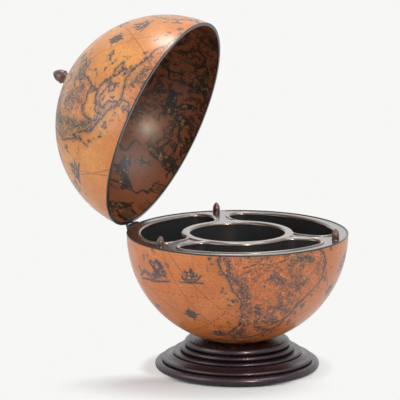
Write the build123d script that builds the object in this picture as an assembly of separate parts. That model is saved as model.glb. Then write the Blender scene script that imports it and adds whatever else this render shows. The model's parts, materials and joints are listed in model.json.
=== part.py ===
"""Tabletop globe bar: a hinged globe on a turned base, with a moulded tray for bottles and glasses.

Origin: centre of the base's underside. +Z is up, the hinge is at the back (+Y), the lid opens backwards.
The lid is modelled closed, then every lid piece is swung open about the hinge pin.
Lengths are in millimetres and angles in degrees.
"""

from build123d import *
from math import asin, cos, degrees, hypot, radians, sin, sqrt, tan
import os

# ---------------------------------------------------------------- driving dimensions
# Globe
sphere_radius = 200.0
paper_thickness = 0.4
shell_thickness = 5.0
parting_rise = 2.0
parting_gap = 0.4

# Base, from the floor up
felt_thickness = 2.0
felt_inset = 6.0
torus_radius = 7.5
torus_reach = 149.0
astragal_radius = 3.4
astragal_reach = 136.8
cove_top_reach = 118.0
plinth_height = 27.5
step_height = 6.0
step_reach = 117.0
cap_bead_radius = 4.4
cap_bead_reach = 104.1
cap_roll_reach = 95.7
cap_roll_low_radius = 4.5
cap_height = 21.0
seat_sink = 6.5
seat_clearance = 0.05

# Rim bands and the wooden ring that carries the tray
band_height = 2.5
band_overhang = 0.3
band_chamfer = 0.6
ring_height = 24.0
ring_width = 15.0
glue_line = 0.1

# Tray
deck_thickness = 3.0
deck_recess = 1.0
deck_clearance = 0.3
flange_thickness = 1.4
flange_overlap = 2.7
rim_height = 2.0
rim_width = 7.0
rim_chamfer = 1.2
tray_wall = 2.5
tray_gap = 2.7
shell_clearance = 2.0
bottle_well_width = 73.0
ridge_width = 16.0
centre_well_depth = 150.0
spoke_half_width = 20.0
spoke_flare = -6.5
well_corner_inner = 30.0
well_corner_outer = 28.0
well_lip_radius = 4.4
well_floor_radius = 8.0
well_count = 3
tray_clocking = 5.0

# Guide pegs
peg_inset = 16.0
peg_foot_radius = 7.0
peg_foot_height = 2.2
peg_neck_radius = 6.0
peg_radius = 6.6
peg_height = 19.2
peg_tip_radius = 2.6
stud_radius = 2.0
stud_in_peg = 11.0
stud_in_ring = 14.0

# Hinge
open_angle = 70.0
pivot_out = 4.5
pivot_drop = 6.5
pin_radius = 2.0
pin_head_radius = 3.6
pin_head_height = 1.6
pin_clearance = 0.05
fixed_clearance = 0.02
block_width = 22.0
sweep_clearance = 0.54
block_back = 8.0
block_straight = 24.0
block_drop = 42.0
block_edge_radius = 2.5
side_clearance = 0.3
ear_thickness = 1.8
ear_reach = 9.5
ear_stop_angle = 42.4
web_thickness = 1.8
web_foot = 0.4
web_height = 18.5
arm_height = 7.0
arm_width = 3.2
body_clearance = 0.35
stop_pin_radius = 1.5
stop_pin_circle = 7.0
stop_pin_proud = 2.2
lid_block_width = 34.0
lid_block_depth = 4.5
lid_block_height = 20.0

# Fasteners
bolt_radius = 4.0
bolt_head_flats = 13.0
bolt_head_height = 5.5
bolt_clearance = 0.5
bolt_end = 3.0
base_washer_radius = 15.0
nut_washer_radius = 9.0
washer_thickness = 1.6
nut_height = 6.5
counterbore_radius = 18.0
counterbore_depth = 10.5
clamp_disc_radius = 32.0
clamp_disc_height = 10.0
base_screw_circle = 72.0
base_screw_count = 4
base_screw_radius = 2.2
base_screw_head_radius = 4.4
base_screw_length = 38.0
base_screw_sink = 6.0
block_screw_radius = 1.8
block_screw_head_radius = 3.4
block_screw_length = 30.0
block_screw_spread = 6.0
block_screw_drop = 20.0
lid_screw_radius = 1.5
lid_screw_head_radius = 3.0
lid_screw_length = 10.5
lid_screw_spread = 7.5
lid_screw_low = 4.6
lid_screw_high = 13.9

# Finial, heights measured from the globe's surface at the pole
collar_radius = 10.6
collar_neck_radius = 8.6
collar_height = 13.0
knob_foot_radius = 9.7
knob_radius = 13.0
knob_ring_low = 17.6
knob_ring_height = 2.4
knob_side_reach = 10.3
knob_side_height = 29.5
knob_tip_radius = 4.6
knob_tip_rise = 2.2
knob_height = 39.4
finial_screw_radius = 2.5
finial_screw_in_knob = 27.0
finial_washer_radius = 9.0
finial_screw_head_radius = 5.0
finial_screw_head_height = 3.2

# ---------------------------------------------------------------- derived places
base_top = felt_thickness + plinth_height + step_height + cap_height
centre = base_top - seat_sink + sphere_radius
shell_outer = sphere_radius - paper_thickness
shell_inner = shell_outer - shell_thickness
parting = centre + parting_rise
deck_top = parting - deck_recess
deck_under = deck_top - deck_thickness
rim_top = deck_top + rim_height
ring_inner = shell_inner - ring_width
well_outer = ring_inner - tray_gap - tray_wall
well_inner = well_outer - bottle_well_width
centre_well_radius = well_inner - ridge_width
flange_reach = sqrt(shell_inner**2 - deck_thickness**2) + flange_overlap
peg_circle = sphere_radius - peg_inset
pivot_y = sphere_radius + pivot_out
pivot_z = centre - pivot_drop
pole = centre + sphere_radius
web_low = parting + parting_gap + band_height + web_foot
lid_reach = hypot(pivot_out - band_overhang, pivot_drop + parting_rise + parting_gap)
block_top_radius = lid_reach - sweep_clearance
ear_end_radius = pivot_out - side_clearance
spoke_angles = [90 + tray_clocking + 360 / well_count * (turn + 0.5) for turn in range(well_count)]


def at_height(radius, height):
    """Distance from the axis of a sphere of this radius about the globe's centre, at this height."""
    return sqrt(radius**2 - (height - centre) ** 2)


def at_radius(radius, reach, side):
    """Height of that sphere at this distance from the axis, above (+1) or below (-1) its centre."""
    return centre + side * sqrt(radius**2 - reach**2)


def turned(start, *moves):
    """Solid turned about Z from an outline of (radius, height) points; a pair of points is an arc."""
    edges, here = [], start
    for move in moves:
        if isinstance(move[0], tuple):
            through, end = move
            edges.append(ThreePointArc(here, through, end))
        else:
            end = move
            edges.append(Line(here, end))
        here = end
    edges.append(Line(here, start))
    return revolve(Plane.XZ * make_face(Curve() + edges), Axis.Z)


def half_round(centre_reach, centre_height, radius):
    """Arc of a convex half-round moulding, from its lower end to its upper end."""
    return (centre_reach + radius, centre_height), (centre_reach, centre_height + radius)


def dome(reach, low, top):
    """Arc that closes a turned shape on its axis, from this reach and height up to the top."""
    radius = (reach**2 + (top - low) ** 2) / (2 * (top - low))
    half = asin(reach / radius) / 2
    return (radius * sin(half), top - radius * (1 - cos(half))), (0, top)


def ball(radius):
    """Solid sphere about the globe's centre."""
    return Pos(0, 0, centre) * Sphere(radius)


def side_profile(points, width):
    """Plate of this width across X, from an outline of (y, z) points."""
    return extrude(Plane.YZ * make_face(Polyline(*points, close=True)), width / 2, both=True)


def round_plate(y, z, radius, width):
    """Disc of this width across X, about a crosswise axis at (y, z)."""
    return Pos(0, y, z) * Rot(0, 90, 0) * Cylinder(radius, width)


def upright(radius, low, high):
    """Cylinder on the Z axis between two heights."""
    return Pos(0, 0, low) * Cylinder(radius, high - low, align=(Align.CENTER, Align.CENTER, Align.MIN))


def wood_screw(radius, head_radius, length):
    """Countersunk screw on the Z axis: its head's face at 0, its point below."""
    cone = head_radius - radius
    return turned((0, 0), (head_radius, 0), (radius, -cone), (radius, radius - length), (0, -length))


def around(count, shape, first=0.0):
    """Copies of a shape, evenly spaced about Z."""
    return [Rot(0, 0, first + 360 / count * turn) * shape for turn in range(count)]


def opened(shape):
    """A lid piece, swung from closed to open about the hinge pin."""
    return shape.rotate(Axis((0, pivot_y, pivot_z), (1, 0, 0)), -open_angle)


# ---------------------------------------------------------------- base
def base_felt():
    """Felt disc glued under the plinth; it covers the bolt and screw heads."""
    return upright(torus_reach - torus_radius - felt_inset, 0, felt_thickness)


def base_plinth():
    """Lowest turned disc: torus foot, astragal, and a cove rising to the step."""
    torus_centre = torus_reach - torus_radius
    torus_top = felt_thickness + 2 * torus_radius
    astragal_centre = astragal_reach - astragal_radius
    astragal_top = torus_top + 2 * astragal_radius
    top = felt_thickness + plinth_height
    cove_mid = (0.6 * cove_top_reach + 0.4 * astragal_centre, 0.3 * top + 0.7 * astragal_top)
    body = turned(
        (0, felt_thickness),
        (torus_centre, felt_thickness),
        half_round(torus_centre, felt_thickness + torus_radius, torus_radius),
        (astragal_centre, torus_top),
        half_round(astragal_centre, torus_top + astragal_radius, astragal_radius),
        (cove_mid, (cove_top_reach, top)),
        (0, top),
    )
    body -= upright(counterbore_radius, felt_thickness, felt_thickness + counterbore_depth)
    body -= upright(bolt_radius + bolt_clearance, felt_thickness, top)
    return body - base_screw_holes()


def base_step():
    """Thin turned disc with a half-round edge, between the plinth and the cap."""
    low = felt_thickness + plinth_height
    radius = step_height / 2
    edge = half_round(step_reach - radius, low + radius, radius)
    body = turned((0, low), (step_reach - radius, low), edge, (0, low + step_height))
    return body - upright(bolt_radius + bolt_clearance, low, low + step_height) - base_screw_holes()


def base_cap():
    """Top turned disc: bead, groove, roll, and the dished seat that the globe sits in."""
    low = base_top - cap_height
    groove = low + 2 * cap_bead_radius
    widest = groove + cap_roll_low_radius
    roll_radius = base_top - widest
    low_turn = cap_roll_low_radius * (1 - sqrt(0.5))
    high_turn = roll_radius * (1 - sqrt(0.5))
    body = turned(
        (0, low),
        (cap_bead_reach - cap_bead_radius, low),
        half_round(cap_bead_reach - cap_bead_radius, low + cap_bead_radius, cap_bead_radius),
        (cap_roll_reach - cap_roll_low_radius, groove),
        ((cap_roll_reach - low_turn, groove + low_turn), (cap_roll_reach, widest)),
        ((cap_roll_reach - high_turn, base_top - high_turn), (cap_roll_reach - roll_radius, base_top)),
        (0, base_top),
    )
    body -= ball(sphere_radius + seat_clearance)
    return body - upright(bolt_radius + bolt_clearance, low, base_top) - base_screw_holes()


def base_screw(grow):
    """One screw up through the base, grown all round by a clearance when it is used as a hole."""
    head_face = felt_thickness + base_screw_sink
    screw = wood_screw(base_screw_radius + grow, base_screw_head_radius + grow, base_screw_length + grow)
    return Pos(base_screw_circle, 0, head_face) * Rot(180, 0, 0) * screw


def base_screw_holes():
    """Holes for the base screws, counterbored from the underside."""
    bore = Pos(base_screw_circle, 0, 0) * upright(
        base_screw_head_radius + glue_line, 0, felt_thickness + base_screw_sink
    )
    return around(base_screw_count, base_screw(glue_line) + bore, 45)


def base_screws():
    """Wood screws that hold the three turned discs together."""
    return Compound(children=around(base_screw_count, base_screw(0), 45))


# ---------------------------------------------------------------- centre bolt
bolt_seat = felt_thickness + counterbore_depth
clamp_low = at_radius(shell_inner - glue_line, 0, -1)
clamp_top = clamp_low + clamp_disc_height
nut_low = clamp_top + washer_thickness
bolt_top = nut_low + nut_height + bolt_end


def washer(radius, low):
    """Flat round washer on the centre bolt."""
    disc = upright(radius, low, low + washer_thickness)
    return disc - upright(bolt_radius + bolt_clearance, low, bolt_top)


def hexagon(flats, low, high):
    """Hexagonal prism on the Z axis, by its width across flats."""
    return extrude(Plane.XY.offset(low) * RegularPolygon(flats / sqrt(3), 6), high - low)


def centre_bolt():
    """Hexagon bolt that clamps the bowl to the base."""
    under_head = bolt_seat - washer_thickness
    head = hexagon(bolt_head_flats, under_head - bolt_head_height, under_head)
    shank = chamfer(upright(bolt_radius, under_head, bolt_top).edges().sort_by(Axis.Z)[-1], bolt_radius / 5)
    return head + shank


def centre_nut():
    """Hexagon nut inside the bowl."""
    body = hexagon(bolt_head_flats, nut_low, nut_low + nut_height)
    return body - upright(bolt_radius + fixed_clearance, nut_low, bolt_top)


def clamp_disc():
    """Turned wooden disc under the nut, rounded below to lie in the bowl."""
    sphere = shell_inner - glue_line
    hole = bolt_radius + bolt_clearance
    edge = at_radius(sphere, clamp_disc_radius, -1)
    middle = clamp_disc_radius / 2
    return turned(
        (hole, at_radius(sphere, hole, -1)),
        ((middle, at_radius(sphere, middle, -1)), (clamp_disc_radius, edge)),
        (clamp_disc_radius, clamp_top),
        (hole, clamp_top),
    )


# ---------------------------------------------------------------- bowl
def sphere_shell(rim, hole, side):
    """Half of the globe's shell, below (-1) or above (+1) the centre, from its pole hole to its rim."""
    middle = radians(45)
    outer_mid = (shell_outer * cos(middle), centre + side * shell_outer * sin(middle))
    inner_mid = (shell_inner * cos(middle), centre + side * shell_inner * sin(middle))
    return turned(
        (hole, at_radius(shell_outer, hole, side)),
        (outer_mid, (at_height(shell_outer, rim), rim)),
        (at_height(shell_inner, rim), rim),
        (inner_mid, (hole, at_radius(shell_inner, hole, side))),
    )


def rim_band(low, inner):
    """Thin dark band on the edge of a shell, out from this reach, its two outer edges eased."""
    outer = sphere_radius + band_overhang
    band = upright(outer, low, low + band_height) - upright(inner, low, low + band_height)
    circles = band.edges().filter_by(GeomType.CIRCLE).sort_by(SortBy.RADIUS)
    return chamfer(circles[-2:], band_chamfer)


def block_screws(grow):
    """Two screws from inside the bowl, through ring and shell, into the hinge block."""
    screw = wood_screw(
        block_screw_radius + grow, block_screw_head_radius + grow, block_screw_length + grow
    )
    return [
        Pos(side * block_screw_spread, ring_inner, centre - block_screw_drop) * Rot(90, 0, 0) * screw
        for side in (-1, 1)
    ]


def bowl_shell():
    """Lower half of the globe, drilled for the centre bolt and the hinge block's screws."""
    shell = sphere_shell(parting - band_height, bolt_radius + bolt_clearance, -1)
    return shell - block_screws(glue_line)


def bowl_band():
    """Dark band on the bowl's rim, round the tray's flange."""
    return rim_band(parting - band_height, flange_reach + deck_clearance)


def tray_ring():
    """Wooden ring glued inside the bowl's rim; the tray rests on it."""
    low = deck_under - ring_height
    ring = upright(sphere_radius, low, deck_under) & ball(shell_inner - glue_line)
    ring -= upright(ring_inner, low, deck_under)
    return ring - block_screws(glue_line) - peg_studs_at(glue_line)


# ---------------------------------------------------------------- tray
def well_outline(grow):
    """Kidney outline of a bottle well, centred on +X and grown all round by a wall's thickness."""
    spoke_turn = 180 / well_count
    outer_half_width = spoke_half_width + bottle_well_width * tan(radians(spoke_flare))
    inner_end = spoke_turn - degrees(asin(spoke_half_width / well_inner))
    outer_end = spoke_turn - degrees(asin(outer_half_width / well_outer))
    inner = CenterArc((0, 0), well_inner, -inner_end, 2 * inner_end)
    outer = CenterArc((0, 0), well_outer, -outer_end, 2 * outer_end)
    face = make_face(Curve() + [inner, outer, Line(inner @ 0, outer @ 0), Line(inner @ 1, outer @ 1)])
    corners = face.vertices().sort_by(lambda corner: Vector(corner).length)
    face = fillet(corners[:2], well_corner_inner)
    corners = face.vertices().sort_by(lambda corner: Vector(corner).length)
    face = fillet(corners[-2:], well_corner_outer)
    return offset(face, grow) if grow else face


def tray():
    """Moulded tray: one round centre well and three kidney wells, all with rolled lips."""
    outer_depth = sqrt((shell_inner - shell_clearance) ** 2 - (well_outer + tray_wall) ** 2)
    well_floor = centre - outer_depth + tray_wall
    centre_floor = deck_top - centre_well_depth
    under_chamfer = (2 - sqrt(2)) * (well_floor_radius + tray_wall)
    first = 90 + tray_clocking
    body = upright(at_height(shell_inner, deck_under) - deck_clearance, deck_under, deck_top)
    flange = upright(flange_reach, deck_top - flange_thickness, deck_top)
    body += chamfer(flange.edges().group_by(Axis.Z)[-1], flange_thickness / 3)
    well_rim = extrude(Plane.XY.offset(deck_under) * well_outline(rim_width), rim_top - deck_under)
    centre_rim = upright(well_inner + rim_chamfer, deck_under, rim_top)
    for solid in [*around(well_count, well_rim, first), centre_rim]:
        body += chamfer(solid.edges().group_by(Axis.Z)[-1], rim_chamfer)
    crests = [edge.center() for edge in body.edges().group_by(Axis.Z)[-1]]
    cup = extrude(Plane.XY.offset(well_floor - tray_wall) * well_outline(tray_wall), deck_top - well_floor)
    cup = chamfer(cup.edges().group_by(Axis.Z)[0], under_chamfer)
    pocket = extrude(Plane.XY.offset(well_floor) * well_outline(0), rim_top - well_floor)
    pocket = fillet(pocket.edges().group_by(Axis.Z)[0], well_floor_radius)
    centre_cup = upright(centre_well_radius + tray_wall, centre_floor - tray_wall, deck_under)
    centre_cup = chamfer(centre_cup.edges().group_by(Axis.Z)[0], under_chamfer)
    centre_pocket = upright(centre_well_radius, centre_floor, rim_top)
    centre_pocket = fillet(centre_pocket.edges().group_by(Axis.Z)[0], well_floor_radius)
    for solid in [*around(well_count, cup, first), centre_cup]:
        body += solid
    for hollow in [*around(well_count, pocket, first), centre_pocket]:
        body -= hollow
    top_edges = body.edges().group_by(Axis.Z)[-1]
    near = [min((edge.center() - crest).length for crest in crests) for edge in top_edges]
    inward = [edge for edge, gap in zip(top_edges, near) if gap > glue_line]
    body = fillet(inward, well_lip_radius)
    return body - peg_studs_at(glue_line)


# ---------------------------------------------------------------- pegs
def peg():
    """Turned ogive peg with a foot ring, standing on the deck and bored from below for its stud."""
    foot_top = deck_top + peg_foot_height
    tip = deck_top + peg_height
    tip_low = tip - peg_tip_radius / 2
    body = turned(
        (0, deck_top),
        (peg_foot_radius, deck_top),
        (peg_foot_radius, foot_top),
        (peg_neck_radius, foot_top),
        ((peg_radius, 0.63 * foot_top + 0.37 * tip_low), (peg_tip_radius, tip_low)),
        dome(peg_tip_radius, tip_low, tip),
    )
    return body - upright(stud_radius + fixed_clearance, deck_top, deck_top + stud_in_peg)


def peg_place(shape, angle):
    """A piece on the Z axis, moved to a peg's place over the spoke at this angle."""
    return Rot(0, 0, angle) * Pos(peg_circle, 0, 0) * shape


def peg_studs_at(grow):
    """The three studs, grown all round by a clearance when they are used as holes."""
    stud = upright(stud_radius + grow, deck_top - stud_in_ring - grow, deck_top + stud_in_peg)
    return [peg_place(stud, angle) for angle in spoke_angles]


# ---------------------------------------------------------------- hinge
stop_lead = degrees(asin((stop_pin_radius + fixed_clearance) / stop_pin_circle))
stop_angle = ear_stop_angle - open_angle - stop_lead
stop_y = pivot_y + stop_pin_circle * cos(radians(stop_angle))
stop_z = pivot_z + stop_pin_circle * sin(radians(stop_angle))


def hinge_block():
    """Wooden block on the back of the bowl, rounded about the pin so that the lid clears it."""
    back = pivot_y + block_back
    knuckle = round_plate(pivot_y, pivot_z, block_top_radius, block_width)
    knuckle &= Pos(0, back, pivot_z) * Box(
        2 * block_width, 4 * block_top_radius, 4 * block_top_radius,
        align=(Align.CENTER, Align.MAX, Align.CENTER),
    )
    stem = side_profile(
        [
            (sphere_radius - block_drop, pivot_z),
            (back, pivot_z),
            (back, centre - block_straight),
            (sphere_radius - block_back, centre - block_drop),
            (sphere_radius - block_drop, centre - block_drop),
        ],
        block_width,
    )
    block = (knuckle + stem) - ball(sphere_radius + band_overhang + seat_clearance)
    heel = [edge for edge in block.edges().filter_by(Axis.X) if edge.center().Y > back - fixed_clearance]
    heel = [edge for edge in heel if edge.center().Z < pivot_z - block_top_radius]
    block = fillet(heel, block_edge_radius)
    block -= round_plate(pivot_y, pivot_z, pin_radius + fixed_clearance, 2 * block_width)
    block -= round_plate(stop_y, stop_z, stop_pin_radius + fixed_clearance, 2 * block_width)
    return block - block_screws(glue_line)


def hinge_pin():
    """Steel pin through the block and both ears, headed at each end."""
    half = block_width / 2 + side_clearance + ear_thickness + side_clearance
    head = Pos(half + pin_head_height / 2, 0, 0) * Rot(0, 90, 0) * Cylinder(pin_head_radius, pin_head_height)
    pin = Rot(0, 90, 0) * Cylinder(pin_radius, 2 * half) + head + Rot(0, 0, 180) * head
    ends = pin.faces().sort_by(Axis.X)
    pin = chamfer([*ends[0].edges(), *ends[-1].edges()], pin_head_height / 3)
    return Pos(0, pivot_y, pivot_z) * pin


def stop_pin():
    """Steel cross pin in the block; the ears come to rest on it when the lid is open."""
    return round_plate(stop_y, stop_z, stop_pin_radius, block_width + 2 * stop_pin_proud)


def lid_screws_at(grow):
    """Four screws, square to the globe's surface, through the bracket's web into the inner block."""
    screw = wood_screw(lid_screw_radius + grow, lid_screw_head_radius + grow, lid_screw_length + grow)
    web_face = sphere_radius + seat_clearance + web_thickness
    turn_out = degrees(asin(lid_screw_spread / sphere_radius))
    heights = [web_low + lid_screw_low, web_low + lid_screw_high]
    rises = [degrees(asin((height - centre) / sphere_radius)) for height in heights]
    return [
        Pos(0, 0, centre) * Rot(0, 0, side * turn_out) * Rot(rise - 90, 0, 0) * Pos(0, 0, web_face) * screw
        for side in (-1, 1)
        for rise in rises
    ]


def lid_bracket():
    """Steel bracket: a curved web screwed to the lid, and two ears that turn on the pin."""
    inner_face = block_width / 2 + side_clearance
    outer_face = inner_face + ear_thickness
    web_top = web_low + web_height
    web_inner = sphere_radius + seat_clearance
    web_outer = web_inner + web_thickness
    arm_top = web_low + arm_height
    slab = Pos(0, sphere_radius, (web_low + web_top) / 2) * Box(2 * outer_face, 4 * pivot_out, web_height)
    web = slab & (ball(web_outer) - ball(web_inner))
    stop_tip = (
        pivot_y + ear_reach * cos(radians(ear_stop_angle)),
        pivot_z + ear_reach * sin(radians(ear_stop_angle)),
    )
    arm = side_profile(
        [
            (pivot_y, pivot_z),
            stop_tip,
            (at_height(web_inner + arm_width, web_low), web_low),
            (at_height(web_outer, arm_top), arm_top),
            (at_height(web_inner, arm_top), arm_top),
            (sphere_radius, parting),
            (pivot_y - ear_end_radius, pivot_z),
        ],
        2 * outer_face,
    )
    ears = arm + round_plate(pivot_y, pivot_z, ear_end_radius, 2 * outer_face)
    ears -= Pos(0, pivot_y, pivot_z) * Box(2 * inner_face, 8 * ear_reach, 8 * ear_reach)
    rims = ball(sphere_radius + band_overhang + body_clearance)
    ears -= rims & upright(2 * sphere_radius, pivot_z - 2 * ear_reach, web_low)
    ears -= ball(web_inner)
    bracket = web + ears
    bracket -= round_plate(pivot_y, pivot_z, pin_radius + pin_clearance, 4 * block_width)
    return bracket - lid_screws_at(glue_line)


def lid_block():
    """Curved wooden pad inside the lid's rim that takes the bracket's screws."""
    low = parting + parting_gap + band_height
    back = shell_inner - glue_line
    patch = Pos(0, shell_inner, low) * Box(
        lid_block_width, 8 * lid_block_depth, lid_block_height, align=(Align.CENTER, Align.CENTER, Align.MIN)
    )
    return (patch & (ball(back) - ball(back - lid_block_depth))) - lid_screws_at(glue_line)


# ---------------------------------------------------------------- lid
def lid_shell():
    """Upper half of the globe, drilled for the finial's screw and the bracket's screws."""
    shell = sphere_shell(parting + parting_gap + band_height, finial_screw_radius + glue_line, 1)
    return shell - lid_screws_at(glue_line)


def lid_band():
    """Dark band on the lid's rim, flush with the shell inside, its eased edges upward."""
    low = parting + parting_gap
    inner = at_height(shell_inner, parting - band_height) - glue_line
    return mirror(rim_band(parting - band_height, inner), Plane.XY.offset((low + parting) / 2))


def finial_collar():
    """Turned collar between the globe and the knob, hollowed below to fit the globe."""
    top = pole + collar_height
    rim = at_radius(sphere_radius + seat_clearance, collar_radius, 1)
    body = turned(
        (0, pole),
        (collar_radius, rim),
        (collar_radius, pole + collar_height / 5),
        ((collar_neck_radius, pole + 0.6 * collar_height), (knob_foot_radius, top)),
        (0, top),
    )
    body -= ball(sphere_radius + seat_clearance)
    return body - upright(finial_screw_radius + glue_line, centre, top)


def finial_knob():
    """Turned knob: a widening foot, a half-round ring and an ogive above it."""
    low = pole + collar_height + glue_line
    ring_low = pole + knob_ring_low
    ring_radius = knob_ring_height / 2
    tip = pole + knob_height
    tip_low = tip - knob_tip_rise
    body = turned(
        (0, low),
        (knob_foot_radius, low),
        (knob_radius - ring_radius, ring_low),
        half_round(knob_radius - ring_radius, ring_low + ring_radius, ring_radius),
        ((knob_side_reach, pole + knob_side_height), (knob_tip_radius, tip_low)),
        dome(knob_tip_radius, tip_low, tip),
    )
    return body - upright(finial_screw_radius + fixed_clearance, low, pole + finial_screw_in_knob)


washer_face = at_radius(shell_inner - glue_line, finial_washer_radius, 1)


def finial_screw():
    """Screw from inside the lid, through shell and collar, into the knob."""
    head_top = washer_face - washer_thickness
    head = upright(finial_screw_head_radius, head_top - finial_screw_head_height, head_top)
    head = fillet(head.edges().group_by(Axis.Z)[0], finial_screw_head_height / 2)
    return head + upright(finial_screw_radius, head_top, pole + finial_screw_in_knob - fixed_clearance)


def finial_washer():
    """Flat washer under the finial screw's head, touching the lid at its rim."""
    low = washer_face - washer_thickness
    body = upright(finial_washer_radius, low, washer_face)
    return body - upright(finial_screw_radius + glue_line, low, washer_face)


# ---------------------------------------------------------------- assembly
pieces = {
    "base_felt": base_felt(),
    "base_plinth": base_plinth(),
    "base_step": base_step(),
    "base_cap": base_cap(),
    "base_screws": base_screws(),
    "centre_bolt": centre_bolt(),
    "base_washer": washer(base_washer_radius, bolt_seat - washer_thickness),
    "clamp_disc": clamp_disc(),
    "nut_washer": washer(nut_washer_radius, clamp_top),
    "centre_nut": centre_nut(),
    "bowl_shell": bowl_shell(),
    "bowl_rim_band": bowl_band(),
    "tray_ring": tray_ring(),
    "tray": tray(),
    "guide_pegs": Compound(children=[peg_place(peg(), angle) for angle in spoke_angles]),
    "peg_studs": Compound(children=peg_studs_at(0)),
    "hinge_block": hinge_block(),
    "hinge_block_screws": Compound(children=block_screws(0)),
    "hinge_pin": hinge_pin(),
    "stop_pin": stop_pin(),
    "lid_bracket": opened(lid_bracket()),
    "lid_bracket_screws": opened(Compound(children=lid_screws_at(0))),
    "lid_block": opened(lid_block()),
    "lid_shell": opened(lid_shell()),
    "lid_rim_band": opened(lid_band()),
    "finial_collar": opened(finial_collar()),
    "finial_knob": opened(finial_knob()),
    "finial_screw": opened(finial_screw()),
    "finial_washer": opened(finial_washer()),
}

os.makedirs("parts", exist_ok=True)
for node, shape in pieces.items():
    export_step(shape, f"parts/{node}.step")
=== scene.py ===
"""Looks of the tabletop globe bar: printed map skins, a star chart lining, lacquered wood, tray and stage.

The globe's own frame has its centre at the origin, +Z to the north pole and longitudes turned by map_turn.
Lengths are in metres, except in attributes and in patterns, which are in millimetres.
"""

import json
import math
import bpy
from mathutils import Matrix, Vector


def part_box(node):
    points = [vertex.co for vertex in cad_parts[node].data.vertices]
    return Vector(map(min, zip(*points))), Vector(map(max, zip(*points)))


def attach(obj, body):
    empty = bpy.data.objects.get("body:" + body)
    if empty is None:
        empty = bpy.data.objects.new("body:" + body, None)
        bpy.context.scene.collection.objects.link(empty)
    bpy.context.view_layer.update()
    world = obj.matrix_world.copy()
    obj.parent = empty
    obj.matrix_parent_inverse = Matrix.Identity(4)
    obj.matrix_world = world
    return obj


bl_info = {
    "name": "Globe bar finishes",
    "version": (1, 0, 0),
    "blender": (4, 5, 0),
    "location": "3D View > Sidebar > Globe Bar",
    "description": "Skins, materials and stage for a tabletop globe bar",
    "category": "Object",
}

import bpy
import numpy as np

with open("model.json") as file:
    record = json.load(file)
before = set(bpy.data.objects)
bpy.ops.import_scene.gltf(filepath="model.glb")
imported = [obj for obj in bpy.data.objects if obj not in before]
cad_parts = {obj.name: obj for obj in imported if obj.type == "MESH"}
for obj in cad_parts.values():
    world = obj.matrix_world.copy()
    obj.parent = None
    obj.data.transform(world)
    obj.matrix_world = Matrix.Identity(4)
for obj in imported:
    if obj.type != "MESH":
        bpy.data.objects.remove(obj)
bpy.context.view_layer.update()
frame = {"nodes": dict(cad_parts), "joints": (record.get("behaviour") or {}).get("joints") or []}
nodes = frame["nodes"]

# ---------------------------------------------------------------- places read from the frame
hinge = frame["joints"][0]
hinge_point = np.array(hinge["pos_m"])
open_angle = math.radians(hinge["range_deg"][1])
rest_height = 0.2500
shell_low, shell_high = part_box("bowl_shell")
shell_radius = (shell_high.x - shell_low.x) / 2
globe_centre = np.array([0.0, 0.0, rest_height])
band_low, band_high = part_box("bowl_rim_band")
band_gap = 0.0004
bowl_rim = band_low.z
lid_rim = band_high.z + band_gap + (band_high.z - bowl_rim)

# ---------------------------------------------------------------- fixed sizes
clearance = 0.00002  # between the shell and the paper on it
shell_wall = 0.005
bowl_bolt_hole, lid_screw_hole, lining_screw_hole = 0.0046, 0.0026, 0.0028  # radii
lining_swell = 1.08  # how much bolder the lining's strokes are
floor_radius = 12.0
bar_middle = (0.0, 0.05, 0.3)  # where the main lamps aim
lining_glow = (0.158, 0.248, 0.399)  # middle of the round glow on the lining
lid_crest = (-0.097, 0.099, 0.608)  # middle of the sheen on the lid


# ---------------------------------------------------------------- settings
def colour_setting(name, description, default):
    return bpy.props.FloatVectorProperty(
        name=name, description=description, default=default, subtype="COLOR"
    )


def number_setting(name, description, default):
    return bpy.props.FloatProperty(name=name, description=description, default=default)


def length_setting(name, description, default):
    return bpy.props.FloatProperty(name=name, description=description, default=default, unit="LENGTH")


def angle_setting(name, description, degrees):
    return bpy.props.FloatProperty(
        name=name, description=description, default=math.radians(degrees), subtype="ANGLE"
    )


class GlobeMapSettings(bpy.types.PropertyGroup):
    """Sizes and colours of the printed map and of the star chart inside the lid."""

    paper: length_setting("Paper", "Thickness of the map's paper", 0.0004)
    lining: length_setting("Lining", "How far the star chart stands inside the shell", 0.0003)
    around: bpy.props.IntProperty(name="Steps around", description="Steps round the globe", default=560)
    down: bpy.props.IntProperty(name="Steps down", description="Steps from rim to pole", default=150)
    map_turn: angle_setting("Map turn", "Angle from the bar's right-hand side to the first meridian", -79.3)
    ocean: colour_setting("Ocean", "Ground colour of the map", (0.63, 0.200, 0.048))
    ocean_light: colour_setting("Faded ocean", "Where the ground has faded", (0.74, 0.275, 0.072))
    land_red: colour_setting("Red land", "Warm land tint", (0.70, 0.205, 0.058))
    land_olive: colour_setting("Olive land", "Green land tint", (0.46, 0.275, 0.100))
    land_rose: colour_setting("Rose land", "Pinkish land tint", (0.66, 0.265, 0.110))
    # painted light and shade: the sea is toned darker and redder on the bowl (south) and lighter and
    # yellower on the lid (north), for the way the light falls on each half
    south_painted_shade: colour_setting("Southern tone", "Tone of the sea's colour in the south", (0.97, 0.86, 0.84))
    north: colour_setting("Northern tone", "Tone of the sea's colour in the north", (1.0, 1.12, 1.04))
    ink: colour_setting("Ink", "Engraver's ink", (0.028, 0.024, 0.024))
    wash: colour_setting("Wash", "Grey-blue wash along coasts", (0.115, 0.12, 0.125))
    chart: colour_setting("Chart ground", "Ground of the star chart", (0.235, 0.074, 0.026))
    chart_ink: colour_setting("Chart ink", "Ink of the star chart", (0.010, 0.009, 0.009))
    chart_gold: colour_setting("Chart lights", "Ochre lights of the figures", (0.42, 0.25, 0.095))
    crowd: bpy.props.FloatVectorProperty(
        name="Crowded side",
        description="Direction in which the star chart is fullest",
        default=(0.95, -0.25, 0.15),
        subtype="XYZ",
    )


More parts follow.
